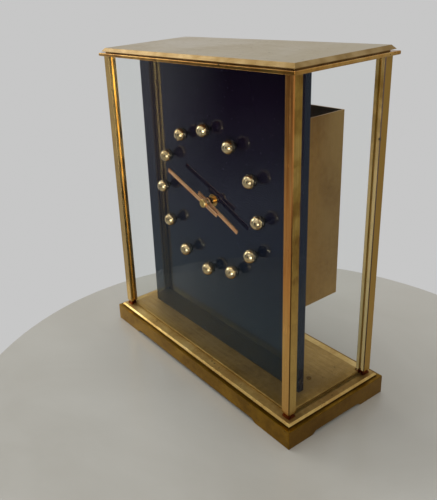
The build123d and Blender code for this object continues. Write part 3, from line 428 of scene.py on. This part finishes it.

# %% [markdown]
# ### Bead and necks
#
# The bead is the bright step on top of the plinth. Its rounded edge is polished, its flat ledge
# is more like satin and darker, most at the right end, and painted shade darkens the groove at
# its foot. How level a face lies tells edge and ledge apart. The short necks of the columns are
# dark and coppery.

# %% Bead and necks
bead_brass, shader, bead_colour = brass(
    "bead_brass", ink(210, 182, 120), ink(196, 166, 100), ink(172, 138, 78), (0.18, 0.28),
    cloud=0.03, mottle=0.003, relief=0.000002,
)
shade_in_groove = along(bead_brass, "Z", 13.9, 13.7)
ledge, right_end = facing(bead_brass, "Z", 0.9, 0.99), along(bead_brass, "X", 84, 90)
ledge_darkening = reckon(bead_brass, "ADD", times(bead_brass, right_end, 0.45), 0.1)
# Dark band at the bead's foot: painted shade in the groove.
bead_colour = toned(bead_brass, bead_colour, ink(40, 26, 12), shade_in_groove, 0.5)
# The ledge is made darker, most at its right end.
bead_colour = blended(
    bead_brass, times(bead_brass, ledge, ledge_darkening), bead_colour, ink(96, 68, 30))
polish = shader.inputs["Roughness"].links[0].from_socket
satin = reckon(bead_brass, "ADD", polish, times(bead_brass, ledge, 0.28))
join(bead_brass, satin, shader.inputs["Roughness"])
ledge_dents = [(-52.7, -36.0, 15.3), (17.4, -35.9, 15.3), (20.8, -36.5, 15.3), (26.8, -37.3, 15.3)]
bead_colour = marked(bead_brass, bead_colour, ledge_dents, 0.7)
recolour(bead_brass, shader, pitted(bead_brass, bead_colour, 0.0013, 0.74))

neck_brass, _, _ = brass(
    "neck_brass", ink(150, 82, 34), ink(112, 56, 22), ink(62, 30, 14), (0.22, 0.4),
    cloud=0.006, mottle=0.0015,
)
print("bead and necks ready")

# %% [markdown]
# ### Top
#
# The top is one thick plate. Its upper side is brushed from end to end. It looks pale and soft in
# gloss, and a little warmer toward the right. The slanted edge round it is polished and a deeper
# gold. Where the surface stops being level, the slope begins.

# %% Top
top_brass, shader, top_colour = brass(
    "top_brass", ink(200, 189, 168), ink(190, 177, 150), ink(174, 158, 126), (0.30, 0.40),
    cloud=0.06, grain=(50, 1, 1), streaks=0.4, relief=0.000006,
)
slope, right_part = facing(top_brass, "Z", 0.97, 0.85), along(top_brass, "X", -60, 100)
deep_gold = shades(
    top_brass, noise(top_brass, 0.01, detail=3.0),
    (0.35, ink(166, 140, 94)), (0.65, ink(140, 112, 64)),
)
top_colour = toned(top_brass, top_colour, ink(176, 160, 122), right_part, 0.75)
top_colour = blended(top_brass, slope, top_colour, deep_gold)
recolour(top_brass, shader, pitted(top_brass, top_colour, 0.002, 0.74, ink(120, 100, 66)))
print("top ready")

# %% [markdown]
# ### Floor, cover and movement
#
# The floor plate inside is brushed along its length and quite rough, so it shows only a blurred
# glow of the panel. The cover behind the panel is brushed upright. The movement isn't seen in
# the photograph, so the bright brass of its plates and wheels is a guess.

# %% Floor, cover and movement
floor_brass, shader, floor_colour = brass(
    "floor_brass", ink(176, 146, 86), ink(164, 134, 76), ink(138, 110, 58), (0.50, 0.62),
    cloud=0.05, grain=(60, 1, 1), streaks=0.7, relief=0.00001,
)
recolour(floor_brass, shader, pitted(floor_brass, floor_colour, 0.0012, 0.75))

cover_brass, _, _ = brass(
    "cover_brass", ink(176, 142, 84), ink(165, 131, 76), ink(146, 113, 62), (0.34, 0.44),
    cloud=0.07, grain=(1, 1, 40), streaks=0.25, relief=0.000006,
)
movement_brass, _, _ = brass(
    "movement_brass", ink(222, 188, 116), ink(208, 170, 98), ink(186, 146, 80), (0.2, 0.32),
    cloud=0.02, grain=(40, 40, 1), relief=0.000006,
)
print("floor, cover and movement ready")

# %% [markdown]
# ### Balls
#
# The balls are polished like mirrors and are paler than the brass of the frame. Real ones show
# the whole room in small, with dark patches. This room is plainer, so soft darker spots are
# painted into their colour as painted dark reflections. Their stems look dark, and the distance
# from the panel tells the stem from the ball.

# %% Balls
stem_end, stem_fade = -17.2, 0.15
marker_gold, shader, gold_colour = brass(
    "marker_gold", ink(232, 212, 170), ink(224, 200, 152), ink(208, 180, 128), (0.03, 0.08),
    cloud=0.006, mottle=0.0015, relief=0.000002,
)
spots = spread(marker_gold, noise(marker_gold, 0.0032, detail=2.0, warp=0.8), 0.50, 0.60)
# Darker spots on the balls: painted dark reflections of the room.
gold_colour = toned(marker_gold, gold_colour, ink(104, 82, 58), spots, 0.62)
on_stem = along(marker_gold, "Y", stem_end - stem_fade, stem_end)
recolour(marker_gold, shader, blended(marker_gold, on_stem, gold_colour, ink(34, 26, 18)))
print("balls ready")

# %% [markdown]
# ### Hands
#
# The hands are flat bars, rose gold in colour and lightly brushed, with a fine groove along
# the middle. The groove is too thin to cut into the solid, so its shade is painted into the
# material as a dark line, by the distance from the hand's own middle line. That line runs through
# the dial's centre, and its angle is measured from the solid itself.

# %% Hands
dial_centre_height = 129.3
groove_dark_within, groove_gone_beyond = 0.08 * mm, 0.24 * mm


def hand_angle(name):
    """Degrees clockwise from twelve of a hand's long end, from its furthest point."""
    middle = Vector((0, 0, dial_centre_height * mm))
    points = [v.co - middle for v in nodes[name].data.vertices]
    tip = max(points, key=lambda point: point.x ** 2 + point.z ** 2)
    return math.degrees(math.atan2(tip.x, tip.z))


def hand_gold(name, degrees):
    """Rose gold for a hand that points so many degrees clockwise from twelve."""
    material, shader, colour = brass(
        name, ink(250, 206, 158), ink(244, 192, 140), ink(226, 168, 116), (0.42, 0.50),
        cloud=0.012, relief=0.000004,
    )
    turn = math.radians(degrees)
    above_centre = reckon(
        material, "SUBTRACT", coordinate(material, "Z"), dial_centre_height * mm)
    sideways = reckon(
        material, "SUBTRACT",
        times(material, coordinate(material, "X"), math.cos(turn)),
        times(material, above_centre, math.sin(turn)),
    )
    off_middle = reckon(material, "ABSOLUTE", sideways)
    painted_groove_shade = spread(material, off_middle, groove_gone_beyond, groove_dark_within)
    # Dark line along the middle: painted shade of the groove.
    recolour(material, shader, toned(material, colour, ink(120, 66, 34), painted_groove_shade, 0.6))
    return material


hour_gold = hand_gold("hour_gold", hand_angle("hour_hand"))
minute_gold = hand_gold("minute_gold", hand_angle("minute_hand"))
cap_gold, _, _ = brass(
    "cap_gold", ink(244, 218, 150), ink(232, 202, 128), ink(206, 170, 96), (0.34, 0.44),
    cloud=0.004,
)
print("hands at", *(round(hand_angle(name)) for name in ("hour_hand", "minute_hand")), "degrees")

# %% [markdown]
# ## Steel
#
# The screws and arbors are plain turned steel. Fine noise in the colour and the gloss is enough
# for pieces as small as these, most of which are hidden in the movement.

# %% Steel
steel, shader = new_finish("steel")
shader.inputs["Metallic"].default_value = 1.0
turned = noise(steel, 0.0008, detail=3.0)
steel_colour = shades(steel, turned, (0.3, ink(176, 178, 184)), (0.7, ink(140, 142, 150)))
recolour(steel, shader, steel_colour)
join(steel, spread(steel, turned, 0.3, 0.7, 0.18, 0.34), shader.inputs["Roughness"])
raised(steel, shader, turned, 0.000006)
print("steel ready")

# %% [markdown]
# ## Dark acrylic
#
# The panel is cast acrylic: a nearly black body under a clear glossy skin, so almost everything
# that shows in it is reflection. Real clear layers over a dark core would be slow, and one
# glossy shader gives nearly the same picture. Violet toward the top and green blue toward the
# foot are painted reflections, set in the body colour here. A few specks of dust lie on the
# skin.

# %% Dark acrylic for the panel
panel_acrylic, shader = new_finish("panel_acrylic")
shader.inputs["Specular IOR Level"].default_value = 0.36
shader.inputs["Specular Tint"].default_value = (0.66, 0.80, 1.0, 1.0)
shader.inputs["IOR"].default_value = 1.49
body_and_painted_reflections = shades(
    panel_acrylic, noise(panel_acrylic, 0.12, detail=1.0),
    (0.35, ink(10, 8, 30)), (0.65, ink(10, 16, 34)),
)
painted_reflection_toward_foot, painted_reflection_toward_top = along(panel_acrylic, "Z", 120, 40), along(panel_acrylic, "Z", 110, 190)
side_edges = facing(panel_acrylic, "X", 0.4, 0.9)
# Green blue toward the foot and violet toward the top: painted reflections.
for share, tone in (
    (painted_reflection_toward_foot, ink(6, 28, 38)), (painted_reflection_toward_top, ink(28, 21, 36)), (side_edges, ink(0, 6, 24))
):
    body_and_painted_reflections = blended(panel_acrylic, share, body_and_painted_reflections, tone)
dust = spread(panel_acrylic, noise(panel_acrylic, 0.0016, detail=0.0), 0.80, 0.84)
recolour(panel_acrylic, shader, toned(panel_acrylic, body_and_painted_reflections, ink(150, 150, 160), dust, 0.12))
haze = noise(panel_acrylic, 0.05, detail=3.0)
join(panel_acrylic, spread(panel_acrylic, haze, 0.3, 0.7, 0.03, 0.07), shader.inputs["Roughness"])
raised(panel_acrylic, shader, noise(panel_acrylic, 0.03, detail=1.0), 0.00001)
print("acrylic ready")

# %% [markdown]
# ## Window glass
#
# Three thin panes close the clock. A shader for solid glass would bend the light, but a pane
# this thin hardly shifts what is behind it. So light goes straight through, and a mirror share
# is added that stays small from in front and grows toward a grazing view. Faint smears change
# how sharp that mirror is.

# %% Window glass
straight_share, grazing_share = 0.007, 0.45
window_glass = bpy.data.materials.new("window_glass")
window_glass.use_nodes = True
glass_nodes = window_glass.node_tree.nodes
glass_nodes.remove(glass_nodes["Principled BSDF"])
through = put(window_glass, "BsdfTransparent", Color=(0.982, 0.988, 0.985, 1.0))
mirror = put(window_glass, "BsdfGlossy")
smear = noise(window_glass, 0.02, stretch=(1, 1, 3), detail=3.0)
join(window_glass, spread(window_glass, smear, 0.4, 0.7, 0.01, 0.06), mirror.inputs["Roughness"])
slant = put(window_glass, "LayerWeight", Blend=0.5).outputs["Facing"]
grazing = reckon(window_glass, "POWER", slant, 5.0)
pane = put(window_glass, "MixShader")
join(window_glass, spread(window_glass, grazing, 0.0, 1.0, straight_share, grazing_share),
     pane.inputs[0])
join(window_glass, through.outputs[0], pane.inputs[1])
join(window_glass, mirror.outputs[0], pane.inputs[2])
join(window_glass, pane.outputs[0], glass_nodes["Material Output"].inputs["Surface"])
print("glass ready")

# %% [markdown]
# ## Dress the measured solids
#
# A solid keeps its shape, and gets its finish by name. The list goes through the clock from the
# plinth up to the top, then the dial, the motion work behind it and the movement.

# %% Finishes by name
pieces_of = {
    plinth_brass: "plinth_front plinth_back plinth_left plinth_right floor_screws",
    bead_brass: "base_plate",
    floor_brass: "floor_plate",
    column_brass: "column_front_left column_front_right column_back_left",
    highlit_brass: "column_back_right",
    neck_brass: "column_necks hour_collet",
    window_glass: "glass_front glass_left glass_right",
    edge_brass: "top_frame",
    top_brass: "top_slab",
    panel_acrylic: "dial_panel",
    marker_gold: "hour_markers",
    hour_gold: "hour_hand",
    minute_gold: "minute_hand",
    cap_gold: "hand_cap",
    cover_brass: "movement_cover",
    movement_brass: (
        "marker_nuts dial_bushing minute_wheel hour_wheel movement_feet front_plate back_plate "
        "plate_pillars barrel_drum barrel_cover centre_wheel third_wheel escape_wheel "
        "balance_wheel hairspring_stud setting_knob winding_key"
    ),
    steel: (
        "column_screws frame_screws cannon_pinion minute_wheel_stud foot_screws pillar_screws "
        "mainspring winding_arbor ratchet_wheel click click_spring click_screw centre_arbor "
        "third_arbor escape_arbor pallet_lever hairspring cover_screws"
    ),
}
finishes = {name: finish for finish, names in pieces_of.items() for name in names.split()}
for name, finish in finishes.items():
    slots = nodes[name].data.materials
    if not slots:
        slots.append(finish)
    for index in range(len(slots)):
        slots[index] = finish
print("dressed", len(finishes), "of", len(nodes), "solids")

# %% [markdown]
# ## Rounded edges
#
# Real edges are never quite sharp, and the thin bright line along a rounded edge is much of what
# makes metal look like metal. A Weld joins the corners that the import left apart, and a Bevel
# then rounds every sharp edge a little. Both are modifiers, so the solid under them stays as it
# was measured. The radii are in millimetres.

# %% Round the edges
weld_within = 0.005
sharp_from = math.radians(35)
edge_radius = {
    0.45: "base_plate",
    0.35: "plinth_front plinth_back plinth_left plinth_right",
    0.3: "top_frame",
    0.25: "top_slab winding_key",
    0.2: "dial_panel movement_cover",
    0.15: "column_necks hand_cap setting_knob",
    0.12: "floor_plate hour_collet",
    0.09: "hour_hand minute_hand",
    0.08: "column_front_left column_front_right column_back_left column_back_right floor_screws",
}
rounded = [(name, radius) for radius, names in edge_radius.items() for name in names.split()]
for name, radius in rounded:
    weld = nodes[name].modifiers.new("weld", "WELD")
    weld.merge_threshold = weld_within * mm
    rounding = nodes[name].modifiers.new("rounding", "BEVEL")
    rounding.width = radius * mm
    rounding.segments = 2
    rounding.limit_method = "ANGLE"
    rounding.angle_limit = sharp_from
    rounding.harden_normals = True
print("rounded", len(rounded), "solids")

# %% [markdown]
# ## Twelve ball markers
#
# A ball marker is turned in one piece on a lathe: a ball on a short stem. The import made its
# balls of flat facets, which a mirror finish would show, so the markers are turned again here.
# A lathe needs a profile, which is a list of radii and distances along the axis, and spins it
# round.

# %% A small lathe
def turned_piece(shape, profile, foot, axis, parts=48):
    """Spin (radius, distance) pairs in millimetres about an axis that starts at foot."""
    forward = Vector(axis).normalized()
    side = forward.orthogonal().normalized()
    other = forward.cross(side)
    spokes = [
        side * math.cos(math.tau * part / parts) + other * math.sin(math.tau * part / parts)
        for part in range(parts)
    ]
    rings = []
    for radius, distance in profile:
        middle = Vector(foot) + forward * distance * mm
        if radius == 0:
            rings.append([shape.verts.new(middle)])
        else:
            rings.append([shape.verts.new(middle + spoke * radius * mm) for spoke in spokes])
    for ring, after in zip(rings, rings[1:]):
        for part in range(parts):
            corners = [ring[part % len(ring)], ring[(part + 1) % len(ring)],
                       after[(part + 1) % len(after)], after[part % len(after)]]
            shape.faces.new(list(dict.fromkeys(corners)))


def finished_piece(name, shape, material, body, node):
    """Turn worked faces into a named piece that rides on a body and replaces a node."""
    bmesh.ops.recalc_face_normals(shape, faces=shape.faces)
    mesh = bpy.data.meshes.new(name)
    shape.to_mesh(mesh)
    shape.free()
    mesh.shade_smooth()
    mesh.set_sharp_from_angle(angle=math.radians(40))
    mesh.materials.append(material)
    piece = bpy.data.objects.new(name, mesh)
    bpy.context.scene.collection.objects.link(piece)
    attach(piece, body)
    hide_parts(node)
    return piece


print("lathe ready")

# %% [markdown]
# The profile starts on the panel's face with the stem, goes round the ball in small steps from
# the angle at which the stem meets it, and closes at the front. Twelve copies stand in a ring
# about the dial's centre.

# %% Turn the markers
ball_radius, ball_reach, stem_radius = 4.75, 6.1, 1.1
ring_radius, hours = 50.6, 12
ball_steps = 28
panel_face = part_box("dial_panel")[0].y / mm
neck_angle = math.asin(stem_radius / ball_radius)

marker_profile = [(stem_radius, 0.0)]
for step in range(ball_steps):
    angle = neck_angle + (math.pi - neck_angle) * step / ball_steps
    marker_profile.append(
        (ball_radius * math.sin(angle), ball_reach - ball_radius * math.cos(angle)))
marker_profile.append((0.0, ball_reach + ball_radius))

shape = bmesh.new()
for hour in range(hours):
    turn = math.tau * hour / hours
    foot = Vector((
        ring_radius * math.sin(turn), panel_face, dial_centre_height + ring_radius * math.cos(turn)
    )) * mm
    turned_piece(shape, marker_profile, foot, (0, -1, 0))
markers = finished_piece("ball_markers", shape, marker_gold, "case", "hour_markers")
print(len(markers.data.polygons), "faces in twelve markers")

# %% [markdown]
# ## The table
#
# The clock stands on a round pale table. A plain disc is enough, with a soft gloss that lets the
# plinth show in it faintly. What surrounds the clock isn't part of it.

# %% Table
def stage_mesh(name, build, material):
    """A mesh for the surroundings, which aren't part of the clock."""
    shape = bmesh.new()
    build(shape)
    mesh = bpy.data.meshes.new(name)
    shape.to_mesh(mesh)
    shape.free()
    piece = bpy.data.objects.new(name, mesh)
    bpy.context.scene.collection.objects.link(piece)
    mesh.materials.append(material)
    return piece


table_finish, shader = new_finish("table_finish")
clouds = noise(table_finish, 0.12, detail=4.0, warp=1.0)
recolour(table_finish, shader,
         shades(table_finish, clouds, (0.3, ink(164, 161, 152)), (0.7, ink(174, 172, 164))))
shader.inputs["Roughness"].default_value = 0.28
table_middle, table_radius, table_thickness = (0.060, -0.025), 0.215, 0.02


def round_table(shape):
    """A disc with its upper face at zero."""
    bmesh.ops.create_cone(
        shape, cap_ends=True, segments=160, radius1=table_radius, radius2=table_radius,
        depth=table_thickness, matrix=Matrix.Translation((*table_middle, -table_thickness / 2)),
    )


stage_mesh("table", round_table, table_finish)
print("table radius", table_radius, "m")

# %% [markdown]
# ## The room
#
# Metal shows what is round it, so the room is as much a part of the brass as its own colour is.
# Walls could be built, but a world that only gives each direction a shade of grey is lighter to
# render: bright above, dim below, and a little paler behind the clock on the left. The helpers
# for materials work on the world too, since it keeps its nodes in the same way.

# %% The room
room = bpy.data.worlds.new("room")
bpy.context.scene.world = room
room.use_nodes = True
background = room.node_tree.nodes["Background"]
direction = put(room, "SeparateXYZ")
join(room, put(room, "TexCoord").outputs["Generated"], direction.inputs[0])


def toward(degrees):
    """How far a direction leans toward a heading, anticlockwise from +X."""
    turn = math.radians(degrees)
    return reckon(room, "ADD", times(room, direction.outputs["X"], math.cos(turn)),
                  times(room, direction.outputs["Y"], math.sin(turn)))


def grey(level, tint=(1, 1, 1)):
    """A shade for the room, where 1 is white."""
    return (level * tint[0], level * tint[1], level * tint[2], 1.0)


up = direction.outputs["Z"]
straight_up, straight_down = 1.0, -1.0
daylight = shades(
    room, spread(room, up, straight_down, straight_up),
    (0.0, grey(0.28)), (0.36, grey(0.35, (0.97, 1, 1.04))), (0.52, grey(0.45)),
    (0.72, grey(0.62)), (1.0, grey(0.90)),
)
backdrop_heading, backdrop_level = 145, 0.57
backdrop = times(room, spread(room, toward(backdrop_heading), 0.45, 0.75),
                 spread(room, up, 0.75, 0.35))
join(room, blended(room, backdrop, daylight, grey(backdrop_level)), background.inputs["Color"])
background.inputs["Strength"].default_value = 1.0
print("room ready")

# %% [markdown]
# ## The lamps
#
# A wide lamp hangs over the clock, and two more stand for windows to the left and right. They
# give soft shadows, and the long highlights along the columns. One small lamp adds a glint to
# the balls. Each place is given by a heading and a rise from the clock's middle, as one would
# walk round it with a lamp, and none of them shows in the picture itself.

# %% The lamps
clock_middle = (0, 0, 0.12)
lamp_distance = 1.6


def heading_place(degrees, rise, distance):
    """A place seen from the clock's middle at a heading and a rise in degrees."""
    turn, lift = math.radians(degrees), math.radians(rise)
    way = (math.cos(turn) * math.cos(lift), math.sin(turn) * math.cos(lift), math.sin(lift))
    return Vector(clock_middle) + Vector(way) * distance


def lamp(name, place, aim, size, power):
    """A square soft lamp that points at a place."""
    data = bpy.data.lights.new(name, "AREA")
    data.shape, data.size, data.energy = "SQUARE", size, power
    piece = bpy.data.objects.new(name, data)
    piece.location = place
    piece.rotation_euler = (Vector(aim) - Vector(place)).to_track_quat("-Z", "Y").to_euler()
    piece.visible_camera = False
    bpy.context.scene.collection.objects.link(piece)


lamp("ceiling_lamp", (-0.35, -0.1, 1.5), (0, 0, 0.1), 0.8, 6.0)
lamp("left_window", heading_place(203, 27, lamp_distance), clock_middle, 0.8, 5.0)
lamp("right_window", heading_place(318, -4, lamp_distance), clock_middle, 0.8, 8.0)
lamp("right_glint", heading_place(345, 20, lamp_distance), clock_middle, 0.16, 2.0)
print("lamps ready")

# %% [markdown]
# ## Two black cards
#
# In a studio, black cards out of the picture give polished things something dark to show. One
# stands to the left, where the upper right of the panel looks, and one in front, where the
# balls look. A card with hard borders would show as a rectangle in the panel, so each fades out
# toward its edges. The fade is stored at the card's own corners, and both cards are hidden
# from the camera, as the lamps are.

# %% A finish that fades out
card_finish, shader = new_finish("card_finish")
felt = noise(card_finish, 0.02)
recolour(card_finish, shader,
         shades(card_finish, felt, (0.3, ink(14, 10, 16)), (0.7, ink(18, 14, 20))))
shader.inputs["Roughness"].default_value = 1.0
shader.inputs["Specular IOR Level"].default_value = 0.0
fade = put(card_finish, "Attribute", attribute_name="fade")
see_through = put(card_finish, "BsdfTransparent")
soft_card = put(card_finish, "MixShader")
card_surface = card_finish.node_tree.nodes["Material Output"].inputs["Surface"]
join(card_finish, fade.outputs["Fac"], soft_card.inputs[0])
join(card_finish, see_through.outputs[0], soft_card.inputs[1])
join(card_finish, shader.outputs[0], soft_card.inputs[2])
join(card_finish, soft_card.outputs[0], card_surface)
print("card finish ready")

# %% [markdown]
# A card is a piece of a sphere about the clock, as wide as its two headings and as high as its
# two rises. Its squares are laid out in rows, and the fade grows over the first few of them.

# %% Hang the cards
card_distance = 1.2
squares_across, squares_upward = 12, 8
fade_across, fade_upward = 4, 1.5


def card(name, first, last, low, high):
    """A curved card between two headings and two rises, which fades out toward its edges."""
    def build(shape):
        fade_layer = shape.verts.layers.float.new("fade")
        rows = []
        for v in range(squares_upward + 1):
            rows.append([])
            for u in range(squares_across + 1):
                degrees = first + (last - first) * u / squares_across
                rise = low + (high - low) * v / squares_upward
                corner = shape.verts.new(heading_place(degrees, rise, card_distance))
                inward_across = min(1.0, min(u, squares_across - u) / fade_across)
                inward_upward = min(1.0, min(v, squares_upward - v) / fade_upward)
                corner[fade_layer] = inward_across * inward_upward
                rows[-1].append(corner)
        for row, above in zip(rows, rows[1:]):
            for u in range(squares_across):
                shape.faces.new((row[u], row[u + 1], above[u + 1], above[u]))

    piece = stage_mesh(name, build, card_finish)
    piece.visible_camera = False
    piece.visible_shadow = False


card("left_card", 214, 238, -20, 30)
card("front_card", 258, 286, -14, 26)
print("cards ready")
